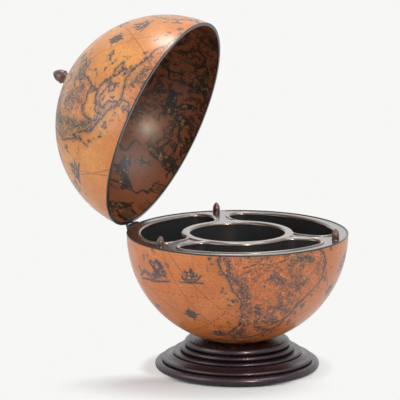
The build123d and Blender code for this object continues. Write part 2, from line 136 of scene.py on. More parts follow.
class WoodSettings(bpy.types.PropertyGroup):
    """Colours of the turned and lacquered wood."""

    dark: colour_setting("Base wood", "Dark mahogany stain", (0.0165, 0.0088, 0.0120))
    light: colour_setting("Base grain", "Lighter grain of the base", (0.0235, 0.0130, 0.0170))
    gloss: colour_setting("Base gloss", "Tint of the base's gloss", (1.0, 0.84, 0.96))
    pad_dark: colour_setting("Pad wood", "Stain of the pad inside the lid", (0.05, 0.02, 0.010))
    pad_light: colour_setting("Pad grain", "Lighter grain of the pad", (0.12, 0.045, 0.02))
    knob_dark: colour_setting("Knob wood", "Brown stain of knob and pegs", (0.070, 0.030, 0.022))
    knob_light: colour_setting("Knob grain", "Lighter grain of knob and pegs", (0.17, 0.075, 0.050))
    inner_dark: colour_setting("Inner wood", "Plain plywood inside", (0.32, 0.20, 0.11))
    inner_light: colour_setting("Inner grain", "Lighter plies inside", (0.50, 0.34, 0.20))


class TraySettings(bpy.types.PropertyGroup):
    """Colours of the moulded tray."""

    # the wells' near-black plastic, lightened to a dark grey as a painted sheen on the well walls
    well_black_and_sheen: colour_setting("Wells", "Black of the wells", (0.036, 0.037, 0.039))
    deck: colour_setting("Deck", "Brown of the deck", (0.031, 0.019, 0.018))
    deck_light: colour_setting("Deck smudges", "Lighter brown of the deck", (0.040, 0.025, 0.023))
    # painted highlight: the rolled lips get a lighter colour than the deck, standing in for the light their
    # rounded edges catch
    lip_highlight: colour_setting("Lips", "Lighter colour of the rolled lips", (0.135, 0.085, 0.058))


class StageSettings(bpy.types.PropertyGroup):
    """Camera, floor and backdrop."""

    lens: number_setting("Lens", "Focal length in mm", 299.2)
    distance: length_setting("Distance", "Level distance from the bar to the camera", 5.87085)
    height: length_setting("Height", "Camera height over the floor", 1.48818)
    bearing: angle_setting("Bearing", "Direction from bar to camera", -157.3)
    pitch: angle_setting("Pitch", "Downward tilt of the camera", 11.341)
    yaw: angle_setting("Yaw", "Turn of the camera to the left of the bar", 0.659)
    backdrop: colour_setting("Backdrop", "Colour of the backdrop", (0.93, 0.93, 0.915))
    floor: colour_setting("Floor", "Floor colour near the bar", (0.88, 0.915, 0.925))
    bounce: colour_setting("Bounce", "Floor colour as it lights the bar from below", (0.72, 0.72, 0.72))
    soft_light: number_setting("Soft light", "Strength of the surroundings", 0.38)
    shade_toward: length_setting("Shade forward", "How far the shade lies in front of the bar", 0.15)
    shade_left: length_setting("Shade left", "How far the shade lies to the bar's left", 0.07)
    shade_near: length_setting("Shade start", "Where the floor starts to fade into the backdrop", 0.12)
    shade_far: length_setting("Shade end", "Where it has faded", 0.30)
    shade_flat: number_setting("Shade flatness", "Width of the floor's shade against its depth", 2.4)
    foot_near: length_setting("Foot shade start", "Radius where the foot's shade starts to fade", 0.160)
    foot_far: length_setting("Foot shade end", "Radius where it has faded", 0.185)
    foot_lift: number_setting("Foot lift", "Share of the backdrop in the shade round the foot", 0.55)


# ---------------------------------------------------------------- placing
def swing(angle):
    """4 by 4 matrix that turns points about the hinge pin, along +X, by this angle."""
    turn = np.eye(4)
    turn[1:3, 1:3] = [[math.cos(angle), -math.sin(angle)], [math.sin(angle), math.cos(angle)]]
    there, back = np.eye(4), np.eye(4)
    there[:3, 3] = hinge_point
    back[:3, 3] = -hinge_point
    return there @ turn @ back


def moved(points, matrix):
    """Points times a 4 by 4 matrix."""
    return points @ matrix[:3, :3].T + matrix[:3, 3]


def directions(lon, lat, turn):
    """Unit vectors in the globe's frame: (cos lat cos(lon + turn), cos lat sin(lon + turn), sin lat)."""
    lon, lat = np.radians(lon) + turn, np.radians(lat)
    return np.stack([np.cos(lat) * np.cos(lon), np.cos(lat) * np.sin(lon), np.sin(lat)], -1)


# ---------------------------------------------------------------- surfaces
def ring_skin(name, profile, count, centre, matrix):
    """Closed skin turned about Z: each (radius, height) point r, h of the closed profile is carried
    round as (r cos t, r sin t, h), then put at the globe's centre and through the matrix."""
    steps = len(profile)
    turn = np.arange(count) * (2 * np.pi / count)
    radius, height = profile[:, :1], profile[:, 1:]
    local = np.stack([radius * np.cos(turn), radius * np.sin(turn), height + 0 * turn], -1)
    row, column = np.meshgrid(np.arange(steps), np.arange(count), indexing="ij")
    next_row, next_column = (row + 1) % steps, (column + 1) % count
    corners = (row, column), (row, next_column), (next_row, next_column), (next_row, column)
    quads = np.stack([r * count + c for r, c in corners], -1).reshape(-1, 4)
    local = local.reshape(-1, 3)
    a, b, c = local[quads[:, 0]], local[quads[:, 1]], local[quads[:, 2]]
    if np.sum(np.cross(b - a, c - a) * a) < 0:
        quads = quads[:, ::-1]
    mesh = bpy.data.meshes.new(name)
    mesh.from_pydata(moved(local + centre, matrix).tolist(), [], quads.tolist())
    mesh.polygons.foreach_set("use_smooth", np.ones(len(mesh.polygons), bool))
    mesh.set_sharp_from_angle(angle=math.radians(40))
    mesh.update()
    skin = bpy.data.objects.new(name, mesh)
    bpy.context.scene.collection.objects.link(skin)
    return skin, local


def half_globe(outer, inner, rim, hole, side, down):
    """Closed profile of half a hollow globe: the outer arc from rim to hole and the inner arc back,
    each point at polar angle a being (R sin a, side R cos a)."""

    def arc(radius, steps):
        angle = np.linspace(math.acos(abs(rim) / radius), math.asin(hole / radius), steps)
        return np.stack([radius * np.sin(angle), side * radius * np.cos(angle)], -1)

    return np.concatenate([arc(outer, down), arc(inner, max(down // 7, 12))[::-1]])


def store(mesh, name, values):
    """Writes a number or a vector for each vertex into a named attribute."""
    kind, key = ("FLOAT_VECTOR", "vector") if values.ndim == 2 else ("FLOAT", "value")
    flat = np.ascontiguousarray(values, np.float32).ravel()
    mesh.attributes.new(name, kind, "POINT").data.foreach_set(key, flat)


# ---------------------------------------------------------------- geography
def read_points(text):
    """Points parted by spaces; a point's numbers stand between commas."""
    return [tuple(float(v) for v in point.split(",")) for point in text.split()]


def read_lines(text):
    """Lines of points, parted by semicolons."""
    return [read_points(line) for line in text.split(";")]


# outlines of land as (longitude, latitude) in degrees, each closed by its first point
america = read_points("""
    -168,66 -162,59 -150,60 -138,59 -130,54 -124,47 -123,39 -117,33 -113,28 -110,23 -109,25 -112,30
    -107,26 -104,20 -96,16 -91,14 -86,12 -83,8 -80,7 -80,4 -86,2 -88,-2 -86,-8 -82,-14 -80,-19 -76,-26
    -75,-34 -76,-42 -80,-45 -84,-51 -82,-56 -74,-58 -64,-56 -56,-53 -52,-48 -47,-46 -46,-40 -42,-36
    -41,-30 -35,-25 -29,-20 -27,-15 -25,-8 -29,-1 -38,2 -48,6 -56,8 -62,10 -69,12 -75,10 -78,9 -82,10
    -84,15 -88,16 -86,21 -90,21 -92,18 -96,18 -98,22 -97,27 -94,30 -89,29 -84,30 -82,26 -80,25 -80,30
    -76,35 -74,40 -69,42 -64,45 -61,47 -65,50 -56,52 -57,55 -63,59 -70,61 -77,62 -77,57 -80,52 -85,56
    -93,57 -93,62 -84,67 -95,72 -112,69 -128,71 -145,70 -158,71
""")
old_world = read_points("""
    -10,37 -9,43 -2,44 -4,48 3,51 8,54 8,57 12,55 20,55 24,59 29,60 22,61 24,66 17,61 16,57 11,59 5,59
    6,63 15,68 27,71 41,67 36,65 45,66 56,69 69,69 76,74 101,78 116,74 141,73 161,70 181,68 188,66 178,62
    164,58 157,51 155,58 142,58 135,44 129,40 129,35 126,36 122,40 118,38 122,31 116,23 108,21 109,12
    104,9 101,13 104,2 99,8 97,16 91,22 86,20 80,14 77,8 73,18 67,24 57,26 50,30 55,24 59,22 52,15 44,12
    51,12 47,4 40,-4 40,-15 35,-23 31,-30 24,-34 18,-34 14,-25 12,-14 14,-6 9,0 9,4 2,6 -8,4 -14,9 -18,15
    -16,22 -10,29 -6,35 9,37 11,33 20,31 31,31 35,32 36,37 28,37 27,41 23,40 23,37 20,40 13,45 18,40 16,38
    10,44 3,43 -1,38 -5,36
""")
islands = read_lines("""
    -45,60 -52,64 -55,70 -66,76 -60,82 -30,83 -20,76 -24,70 -40,65;
    -88,21 -84,24 -78,24 -71,20 -77,19 -82,21; -70,19 -66,20 -61,18 -66,16; -79,17 -76,18 -74,16 -77,15;
    -26,39 -23,41 -21,38 -24,37; -6,50 1,51 0,54 -3,59 -6,57 -3,54; -24,64 -22,66 -14,66 -15,64 -19,63;
    114,-22 115,-34 124,-33 131,-31 138,-35 147,-39 151,-36 153,-27 146,-19 142,-11 139,-17 135,-12
    129,-14 122,-18; 131,-1 141,-3 150,-8 145,-8 138,-8 133,-4; 109,1 117,7 119,1 115,-4;
    95,5 104,-3 105,-6 98,0; 130,32 140,36 141,44 137,37; 44,-25 50,-15 48,-24;
    -129,-8 -124,-6 -120,-9 -125,-12; -152,22 -147,26 -142,24 -147,20
""")
# mountain ranges and rivers
chains = read_lines("""
    -84,0 -82,-8 -77,-15 -73,-22 -71,-33 -72,-44 -77,-52; -66,-30 -65,-38 -64,-46 -56,-49;
    -50,-6 -44,-3 -37,-5; -44,-19 -38,-16; -60,-12 -54,-14; -52,-29 -47,-34; -55,-38 -50,-42;
    -124,60 -116,50 -109,41 -105,31 -100,21; -84,35 -77,41 -70,46; -98,47 -90,43; -70,6 -60,4;
    6,45 14,47 24,46; -6,32 6,35; 28,-28 36,-8 38,8; 70,37 80,31 95,29; 60,54 62,66; 88,50 105,52 120,56;
    146,-24 149,-35
""")
rivers = read_lines("""
    -78,-7 -68,-4 -60,-5 -50,-2 -42,1; -64,-16 -60,-22 -56,-29 -43,-36; -60,-2 -55,-8 -48,-12 -40,-24;
    -95,46 -91,38 -91,32 -89,29; -84,46 -76,44 -70,48 -65,49; -6,13 2,15 6,9; 33,-1 31,12 33,22 31,31
""")
# the southern land's edge: its latitude and how far it waves, in degrees
south_edge, south_wave = -66.0, 4.0


def finer(points, step=4.0):
    """A (lon, lat) line cut into pieces of at most this many degrees."""
    points = np.array(points, float)
    parts = []
    for start, end in zip(points[:-1], points[1:]):
        count = max(int(np.ceil(np.hypot(*(end - start)) / step)), 1)
        parts.append(start + (end - start) * np.arange(count)[:, None] / count)
    return np.concatenate(parts + [points[-1:]])


def line_distance(where, line, turn, radius):
    """Distance in mm from each unit vector to a line on the globe, over straight chords: for a chord
    from p to q the nearest point is p + s (q - p), s being the clamped projection."""
    ends = directions(line[:, 0], line[:, 1], turn)
    best = np.full(len(where), 4.0)
    for p, q in zip(ends[:-1], ends[1:]):
        chord = q - p
        share = np.clip((where - p) @ chord / (chord @ chord), 0, 1)
        gap = where - p - share[:, None] * chord
        best = np.minimum(best, np.einsum("ij,ij->i", gap, gap))
    return np.sqrt(best) * radius * 1000


def inside(lon, lat, line):
    """Whether each (lon, lat) lies in a closed outline: it crosses the outline's sides an odd number
    of times on its way east."""
    odd = np.zeros(len(lon), bool)
    for (lon_a, lat_a), (lon_b, lat_b) in zip(line[:-1], line[1:]):
        if lat_a != lat_b:
            crosses = (lat_a > lat) != (lat_b > lat)
            odd ^= crosses & (lon < lon_a + (lon_b - lon_a) * (lat - lat_a) / (lat_b - lat_a))
    return odd


def coast_field(where, turn, radius):
    """Distance in mm to the nearest coast, above 0 on land: the largest of the height below the southern
    land's edge and of the distance to each outline, below 0 outside it."""
    lon = (np.degrees(np.arctan2(where[:, 1], where[:, 0]) - turn) + 170) % 360 - 170
    lat = np.degrees(np.arcsin(np.clip(where[:, 2], -1, 1)))
    field = np.radians(south_edge + south_wave * np.sin(np.radians(3 * lon)) - lat) * radius * 1000
    for outline in [america, old_world, *islands]:
        line = finer(outline + outline[:1])
        near = line_distance(where, line, turn, radius)
        signed = np.where(inside(lon, lat, line), near, -near)
        field = np.maximum(field, signed)
    return field


def lines_field(where, lines, turn, radius):
    """Distance in mm to the nearest of some lines."""
    return np.min([line_distance(where, finer(line), turn, radius) for line in lines], 0)


# ---------------------------------------------------------------- drawn figures
def loop(x, y, radius, width, count=14, start=0.0, share=1.0):
    """Round stroke about (x, y): count chords of a circle, or of a share of one."""
    angle = start + np.linspace(0, 2 * math.pi * share, count + 1)
    return [(x + radius * math.cos(a), y + radius * math.sin(a), width) for a in angle]


def rays(count, near, far, foot, tip, turn=0.0):
    """Tapered strokes that point away from (0, 0), evenly turned, each from the near to the far radius."""
    angles = [turn + 2 * math.pi * k / count for k in range(count)]
    return [
        [(near * math.cos(a), near * math.sin(a), foot), (far * math.cos(a), far * math.sin(a), tip)]
        for a in angles
    ]


def wave(start, end, swell, turns, thick, thin, count=18):
    """Snaking stroke from start to end that gets thinner: at share s it stands swell sin(2 pi turns s)
    to the side of the straight line."""
    share = np.linspace(0, 1, count)
    side = swell * np.sin(share * turns * 2 * math.pi)
    dx, dy = end[0] - start[0], end[1] - start[1]
    span = math.hypot(dx, dy)
    return [
        (start[0] + dx * s - dy / span * w, start[1] + dy * s + dx / span * w, thick + (thin - thick) * s)
        for s, w in zip(share, side)
    ]


def read_strokes(text):
    """Strokes of (x, y, half-width) points, given in hundredths of the figure's size."""
    return [[tuple(v / 100 for v in point) for point in line] for line in read_lines(text)]


def read_layout(text):
    """Figures laid out on the globe: name, longitude, latitude, size in mm and tilt in radians."""
    return [(name, *map(float, numbers)) for name, *numbers in (row.split() for row in text.split(";"))]


# strokes of each figure in its own frame, +Y up; a stroke's points are (x, y, half-width)
figures = {
    "lion": read_strokes("""
        -55,10,19 0,10,20 40,18,25 66,42,23 92,34,11; -50,0,15 -68,-35,7 -52,-72,5 -38,-74,5;
        -34,0,13 -26,-40,6 -12,-70,5; 40,0,13 62,-30,6 86,-42,6; 22,0,12 20,-40,6 36,-70,5;
        -72,15,6 -100,35,4 -86,68,4 -102,86,9
    """),
    "bull": read_strokes("""
        -60,12,20 0,12,22 42,20,28 78,14,17 98,-4,9; 74,30,4 92,50,4 102,72,3; 66,34,4 62,60,4 74,78,3;
        42,0,13 56,-42,6 40,-70,5; 28,0,12 20,-45,6 10,-72,5; -56,4,14 -70,-35,6 -56,-70,5;
        -40,0,12 -34,-40,6 -26,-72,5; -78,20,5 -98,0,4 -100,-36,6
    """),
    "horse": read_strokes("""
        -50,8,19 -5,2,17 32,10,19 56,46,12 66,66,11; 66,68,10 95,50,7; 50,74,6 36,50,9 20,30,6;
        34,-2,10 70,-6,5 74,-36,4.5; 20,-4,9 44,-36,5 30,-62,4.5; -50,0,12 -66,-40,5 -90,-66,4.5;
        -36,-4,10 -36,-42,5 -54,-74,4.5; -66,18,8 -95,14,8 -108,-16,4; 10,22,10 -20,62,13 -55,86,5
    """),
    "bear": read_strokes("""
        -56,2,26 0,10,28 46,10,24 78,22,17 100,12,8; -60,-10,16 -66,-62,10; -30,-14,14 -26,-64,9;
        30,-10,14 34,-62,9; 56,-6,13 72,-56,8; -84,14,6 -106,24,4
    """),
    "swan": read_strokes("""
        -70,0,6 -30,-12,22 10,-6,20 42,14,8; 42,14,8 74,34,6 78,62,5 94,70,7 108,60,3;
        -10,0,12 -34,46,14 -70,82,5; 6,0,10 2,42,11 -24,86,4; -20,-20,10 -50,-60,10 -90,-80,4
    """),
    "fish": read_strokes("""
        -60,0,6 -20,3,20 25,5,25 62,4,16 80,0,7; -60,0,5 -95,30,7; -60,0,5 -98,-26,7; 10,25,6 -10,46,4;
        20,-18,6 2,-42,4
    """),
    "sea_beast": [
        wave((-1.0, -0.1), (0.45, 0.02), 0.16, 1.1, 0.05, 0.22, 12),
        *read_strokes("""
            45,2,22 80,16,20 106,10,9; 78,4,10 102,-12,5; -100,-10,6 -120,24,9; -100,-10,6 -126,-22,7;
            30,20,6 12,50,4; 74,30,4 70,62,3.5 56,74,5; 74,30,4 84,66,5;
            -130,-42,3.5 -60,-36,5 10,-42,5 120,-38,3.5
        """),
    ],
    "serpent": [
        wave((-1, -0.3), (0.8, 0.3), 0.26, 1.6, 0.04, 0.1, 24),
        *read_strokes("80,30,12 102,36,8"),
    ],
    "scroll": [
        *read_strokes("""
            -60,42,5 60,48,5 66,-40,5 -54,-46,5 -60,42,5; -38,20,3.5 42,24,3.5; -38,0,3.5 42,4,3.5;
            -36,-20,3.5 44,-16,3.5
        """),
        loop(-0.66, 0.3, 0.12, 0.05, 8),
        loop(0.7, -0.3, 0.12, 0.05, 8),
    ],
    "lyre": read_strokes("""
        -20,-70,10 -62,-20,9 -42,40,7 -66,80,6; 20,-70,10 62,-20,9 42,40,7 66,80,6; -30,-74,11 30,-74,11;
        -46,46,6 46,46,6; -14,-66,3 -14,44,3; 14,-66,3 14,44,3
    """),
    "urn": [
        *read_strokes("-10,-50,14 -10,-10,34 -2,26,20 4,56,12; -18,66,5 28,64,5"),
        loop(-0.42, 0.14, 0.2, 0.05, 10, 1.2, 0.6),
        *read_strokes("20,60,6 60,30,6 72,-30,9 100,-66,5; 30,56,4 52,0,5 50,-60,5; -34,-68,7 14,-68,7"),
    ],
    "scales": read_strokes("""
        0,-70,4 0,62,5; -80,42,4 0,56,6 80,42,4; -80,42,2.5 -98,-10,2.5; -80,42,2.5 -62,-10,2.5;
        80,42,2.5 98,-10,2.5; 80,42,2.5 62,-10,2.5; -96,-16,5 -80,-24,9 -64,-16,5;
        64,-16,5 80,-24,9 96,-16,5; -30,-74,7 30,-74,7
    """),
    "crown": read_strokes("""
        -70,-40,9 0,-50,10 70,-40,9; -70,-40,8 -84,40,5; -34,-40,8 -36,46,5; 2,-40,8 2,56,6;
        36,-40,8 40,46,5; 70,-40,8 84,40,5
    """),
    "arrow": read_strokes("""
        -90,-50,3.5 80,46,3.5; 96,56,4 70,60,5; 96,56,4 88,28,5; -90,-50,5 -100,-24,5; -76,-42,5 -84,-14,5;
        -90,-50,5 -74,-66,5
    """),
    "sun": [
        loop(0, 0, 0.36, 0.06),
        *read_strokes("0,0,18 2,0,18"),
        *rays(14, 0.5, 0.98, 0.07, 0.02),
    ],
    "moon": [
        [*loop(0, 0, 0.5, 0.12, 12, 0.9, 0.72)],
    ],
    "star": [
        *rays(6, 0, 0.9, 0.15, 0.02, 0.3),
    ],
    "comet": [
        *rays(7, 0, 0.36, 0.1, 0.02),
        wave((-0.2, -0.1), (-1.1, -0.6), 0.06, 1, 0.08, 0.02, 8),
        wave((-0.2, 0.06), (-1.2, -0.2), 0.06, 1, 0.08, 0.02, 8),
        wave((-0.05, -0.2), (-0.7, -0.9), 0.06, 1, 0.08, 0.02, 8),
    ],
    "compass": [
        *rays(4, 0, 1.0, 0.13, 0.02),
        *rays(4, 0, 0.72, 0.1, 0.02, math.pi / 4),
        *rays(8, 0.3, 0.54, 0.03, 0.02, math.pi / 8),
        loop(0, 0, 0.6, 0.04, 20),
    ],
    "ship": read_strokes("""
        -90,-10,8 -60,-36,14 0,-42,16 50,-36,14 86,-16,6; -86,-6,9 -84,12,6; -44,-30,3 -44,62,3;
        10,-30,3 10,86,3; 80,-16,3 116,14,2; -62,10,5 -30,6,9 -30,40,9 -60,42,5;
        -12,8,5 34,2,11 34,42,11 -8,46,5; -2,58,5 26,58,7 22,74,5; 52,2,4 72,6,6 66,30,4;
        -120,-60,3 -40,-64,6 50,-60,6 120,-62,3
    """),
}

# where the figures stand on the map and on the star chart
map_figures = read_layout("""
    sea_beast -129 -14 34 0.1; compass -108 -36 16 0.1; ship -103 -12 19 0.06; ship -93 -52 14 -0.1;
    fish -140 -36 15 0.3; compass -12 -26 17 0; ship -2 -12 22 0; sea_beast 70 -30 26 0.2;
    ship 88 -14 22 0; compass 105 -48 18 0.2; compass -45 33 18 0; ship -30 25 19 0; ship -133 24 20 0.1;
    fish -58 28 13 0.2; sea_beast -150 42 24 0.1; compass 160 30 19 0; ship 68 10 14 0;
    ship 172 -24 24 0.1; fish -160 -20 16 -0.2; compass -165 -48 16 0
""")
chart_figures = read_layout("""
    bear 84 13 38 0.5; lion 61 24 41 2.2; scroll 54 3 23 1.3; bull 35 11 41 -1.4; serpent 44 34 36 0.6;
    horse 11 17 45 1.9; swan -10 6 37 -0.8; sun 20 39 25 0; lyre -28 14 31 1; fish -19 31 33 2.4;
    urn -45 5 32 1.4; lion -55 27 38 -1.2; crown 70 42 25 0.4; arrow -4 44 31 1; scales 34 56 31 0.3;
    moon -34 46 26 0.6; bull 108 14 39 0.2; comet 96 38 29 2.8; fish 120 38 31 0.9; swan 133 12 38 0.4;
    horse 158 19 43 -0.4; urn 178 40 31 0.5; bear -172 11 39 2.6; sun -150 36 27 0; serpent -140 12 38 0.4;
    lyre -118 22 31 0.2; lion -95 12 41 0.5; scroll -78 36 27 1; bull -110 48 35 1.6; star 1 29 12 0.2;
    star 27 25 12 0; star 51 47 12 0.5; crown 70 3 17 0.1; star -41 33 13 0.4; crown -29 1 17 0.9;
    ship 22 2 17 0.6; swan 8 63 31 0.8; crown -58 60 25 0.3; fish 80 62 28 0.5; star 150 60 17 0.4;
    arrow -150 62 30 0.2; star 97 2 11 0.2; star 143 36 13 0.1; comet -128 70 25 1; comet -70 6 27 0.4;
    fish 45 20 17 1.1; arrow 24 31 18 2.1; moon -2 30 15 0.3; fish -38 22 19 0.7; star -14 20 11 0.5;
    comet 52 70 22 0.9; lyre 28 44 17 0.7; scroll -84 10 18 0.2; urn -100 32 19 0.9; star -122 8 12 0.2;
    moon -86 54 18 0.5; serpent 178 14 22 0.2; crown -162 28 15 0.4; sea_beast -22 62 30 0.4;
    bear 165 62 30 1
""")

# smallest half-width of a stroke, in mm
finest_stroke = 1.25


def figure_field(where, layout, turn, radius, swell=1.0):
    """Depth in mm inside the nearest drawn stroke, below 0 outside. A figure at (lon, lat) is laid on
    the plane that touches the globe there; a stroke from (p, a) to (q, b) is the set of points nearer
    to p + s (q - p) than a + s (b - a)."""
    field = np.full(len(where), -40.0)
    for name, lon, lat, size, tilt in layout:
        spot = directions(lon, lat, turn)
        east = np.cross([0.0, 0.0, 1.0], spot)
        east /= np.linalg.norm(east)
        north = np.cross(spot, east)
        close = np.flatnonzero(where @ spot > math.cos(1.6 * size / (radius * 1000) + 0.05))
        if not len(close):
            continue
        flat = np.stack([where[close] @ east, where[close] @ north], -1) * radius * 1000
        spin = np.array([[math.cos(tilt), -math.sin(tilt)], [math.sin(tilt), math.cos(tilt)]])
        flat = flat @ spin
        depth = np.full(len(close), -40.0)
        for stroke in figures[name]:
            for (ax, ay, wa), (bx, by, wb) in zip(stroke[:-1], stroke[1:]):
                p, q = np.array([ax, ay]) * size, np.array([bx, by]) * size
                share = np.clip((flat - p) @ (q - p) / ((q - p) @ (q - p)), 0, 1)
                gap = np.linalg.norm(flat - p - share[:, None] * (q - p), axis=1)
                wide = swell * np.maximum((wa + (wb - wa) * share) * size, finest_stroke)
                depth = np.maximum(depth, wide - gap)
        field[close] = np.maximum(field[close], depth)
    return field


# ---------------------------------------------------------------- shader building blocks
class Value:
    """Output of a shader node; sums, differences and products with it add math nodes."""

    def __init__(self, sheet, socket):
        self.sheet, self.socket = sheet, socket

    def __add__(self, other):
        return self.sheet.math("ADD", self, other)

    def __sub__(self, other):
        return self.sheet.math("SUBTRACT", self, other)

    def __rsub__(self, other):
        return self.sheet.math("SUBTRACT", other, self)

    def __mul__(self, other):
        return self.sheet.math("MULTIPLY", self, other)

    __radd__, __rmul__ = __add__, __mul__

    def __abs__(self):
        return self.sheet.math("ABSOLUTE", self)

    def sine(self):
        return self.sheet.math("SINE", self)

    def most(self, *others):
        """Largest of this and the others."""
        largest = self
        for other in others:
            largest = self.sheet.math("MAXIMUM", largest, other)
        return largest

    def rise(self, low, high, start=0.0, end=1.0):
        """Smooth step 3 t^2 - 2 t^3 from start to end as the value goes from low to high."""
        limits = {"Value": self, "From Min": low, "From Max": high, "To Min": start, "To Max": end}
        return self.sheet.take("Result", "ShaderNodeMapRange", limits, interpolation_type="SMOOTHSTEP")

    def fall(self, low, high):
        """Smooth step from 1 down to 0 as the value goes from low to high."""
        return self.rise(low, high, 1.0, 0.0)


class Sheet:
    """Short ways to add and link shader nodes in one node tree. Patterns read the vector where, in mm,
    unless another is given, and their scales are per mm."""

    def __init__(self, tree):
        self.tree, self.where, self.count = tree, None, 0

    def add(self, kind, inputs=None, **properties):
        """A node with its properties, and with its inputs set or linked by name or number."""
        node = self.tree.nodes.new(kind)
        node.location = (200 * (self.count // 6), -160 * (self.count % 6))
        self.count += 1
        for key, value in properties.items():
            setattr(node, key, value)
        self.fill(node, inputs or {})
        return node

    def fill(self, node, inputs):
        """Sets a node's inputs to values, or links them to outputs."""
        for name, value in inputs.items():
            socket = node.inputs[name]
            value = value.socket if isinstance(value, Value) else value
            if isinstance(value, bpy.types.NodeSocket):
                self.tree.links.new(value, socket)
            elif socket.type == "RGBA" and len(value) == 3:
                socket.default_value = (*value, 1.0)
            else:
                socket.default_value = value

    def take(self, output, kind, inputs=None, **properties):
        """One output, by name or number, of a new node."""
        return Value(self, self.add(kind, inputs, **properties).outputs[output])

    def values(self, kind, inputs=None, **properties):
        """All outputs of a new node by name."""
        node = self.add(kind, inputs, **properties)
        return {socket.name: Value(self, socket) for socket in node.outputs}

    def math(self, operation, *inputs):
        return self.take(0, "ShaderNodeMath", dict(enumerate(inputs)), operation=operation)

    def vector(self, operation, *inputs):
        output = "Value" if operation in ("LENGTH", "DOT_PRODUCT") else "Vector"
        return self.take(output, "ShaderNodeVectorMath", dict(enumerate(inputs)), operation=operation)

    def along(self, direction):
        """How far the place lies along a direction."""
        return self.vector("DOT_PRODUCT", self.where, tuple(direction))

    def axes(self, vector):
        """The three parts of a vector."""
        return list(self.values("ShaderNodeSeparateXYZ", {0: vector}).values())

    def mapped(self, scale, turn=(0.0, 0.0, 0.0), at=None):
        """The place, scaled and turned."""
        inputs = {"Vector": at or self.where, "Rotation": turn, "Scale": scale}
        return self.take(0, "ShaderNodeMapping", inputs)

    def object_space(self, scale=(1.0, 1.0, 1.0)):
        """Object coordinates in mm, scaled."""
        return self.mapped(tuple(1000 * s for s in scale), at=self.take("Object", "ShaderNodeTexCoord"))

    def attribute(self, name, output="Fac"):
        return self.take(output, "ShaderNodeAttribute", attribute_name=name)

    def noise(self, scale, detail=3.0, rough=0.55, distortion=0.0, at=None):
        inputs = {"Vector": at or self.where, "Scale": scale, "Detail": detail, "Roughness": rough}
        return self.take(0, "ShaderNodeTexNoise", {**inputs, "Distortion": distortion})

    def cells(self, scale, feature="F1"):
        """Distance to the nearest cell point, or to the nearest edge between cells."""
        inputs = {"Vector": self.where, "Scale": scale}
        return self.take("Distance", "ShaderNodeTexVoronoi", inputs, feature=feature)

    def mix(self, share, one, two, blend="MIX"):
        """Colour one, with this share of colour two."""
        inputs = {0: share, 6: one, 7: two}
        return self.take(2, "ShaderNodeMix", inputs, data_type="RGBA", blend_type=blend, clamp_factor=True)

    def toned(self, colour, tone):
        """A colour times another colour, or times a value."""
        if isinstance(tone, Value) and tone.socket.type == "VALUE":
            tone = self.take(0, "ShaderNodeCombineColor", {0: tone, 1: tone, 2: tone})
        return self.mix(1.0, colour, tone, "MULTIPLY")

    def bump(self, shader, height, strength, distance):
        """Bump of the shader's surface from a height, in metres of distance."""
        inputs = {"Strength": strength, "Distance": distance, "Height": height}
        self.fill(shader, {"Normal": self.take(0, "ShaderNodeBump", inputs)})

    def blend(self, share, one, two, output):
        """Sends shader one, with this share of shader two, to the tree's output node."""
        inputs = {0: share, 1: one.outputs[0], 2: two.outputs[0]}
        self.fill(self.tree.nodes[output], {"Surface": self.take(0, "ShaderNodeMixShader", inputs)})


def effect(title, results, **numbers):
    """Turns a function that draws on a sheet into a shader node group: the group has a vector and the
    numbers as inputs and the results as outputs, is built once, and is placed with its own values."""

    def build(draw):
        tree = bpy.data.node_groups.new(title, "ShaderNodeTree")
        tree.interface.new_socket("Vector", in_out="INPUT", socket_type="NodeSocketVector")
        for label, value in numbers.items():
            socket = tree.interface.new_socket(label, in_out="INPUT", socket_type="NodeSocketFloat")
            socket.default_value = value
        for label in results:
            tree.interface.new_socket(label, in_out="OUTPUT", socket_type="NodeSocketFloat")
        sheet = Sheet(tree)
        given = sheet.values("NodeGroupInput")
        sheet.where = given["Vector"]
        sheet.add("NodeGroupOutput", draw(sheet, given))
        return tree

    def wrap(draw):
        def place(sheet, **values):
            tree = bpy.data.node_groups.get(title) or build(draw)
            return sheet.values("ShaderNodeGroup", {"Vector": sheet.where, **values}, node_tree=tree)

        return place

    return wrap


@effect("Engraving", ("Ink", "Body"), Depth=0.0, Shade=0.5)
def engraving(sheet, given):
    """Ink of a drawn figure: an outline along its edge, hatching in its shade and open lights."""
    edge = 2.6 * (sheet.noise(0.14) - 0.5) + given["Depth"]
    body = edge.rise(-0.35, 0.35)
    rim = body - edge.rise(1.3, 2.2)
    hatch = (9.0 * sheet.noise(0.05) + sheet.along((1.1, 0.7, 2.2))).sine()
    patch = sheet.noise(0.095, 4.0, 0.65) + 0.03 * hatch
    limit = 1.0 - given["Shade"]
    return {"Ink": rim.most(body * patch.rise(limit - 0.05, limit + 0.03)), "Body": body}


@effect("Aged paper", ("Stain", "Speckle", "Height"))
def aged_paper(sheet, given):
    """Aged printed paper: a stain value, a fine print speckle and a slight height."""
    fine = sheet.noise(0.55, 2.0, 0.7)
    return {
        "Stain": sheet.noise(0.011, 4.0, 0.6, 0.6),
        "Speckle": 0.6 * fine + 0.4 * sheet.noise(0.16, 3.0, 0.7) - 0.5,
        "Height": sheet.noise(0.035, 2.0) + 0.12 * fine,
    }


@effect("Wood grain", ("Grain", "Open pores", "Height"), Rings=0.12, Pores=1.0)
def wood_grain(sheet, given):
    """Wood grain along Y of the vector: a grain value, pores and a height."""
    rings = (14.0 * sheet.noise(0.012, 3.0, 0.5) + sheet.along((1.0, 0.35, 0.1)) * given["Rings"]).sine()
    fibres = sheet.mapped((1.0, 0.09, 1.0))
    fibre = sheet.noise(0.75, 4.0, 0.7, at=fibres)
    pores = sheet.noise(1.7, 2.0, 0.5, at=fibres).rise(0.62, 0.7)
    return {
        "Grain": (0.22 * rings + fibre).rise(0.2, 0.85),
        "Open pores": pores * given["Pores"],
        "Height": 0.4 * fibre - 0.5 * pores,
    }


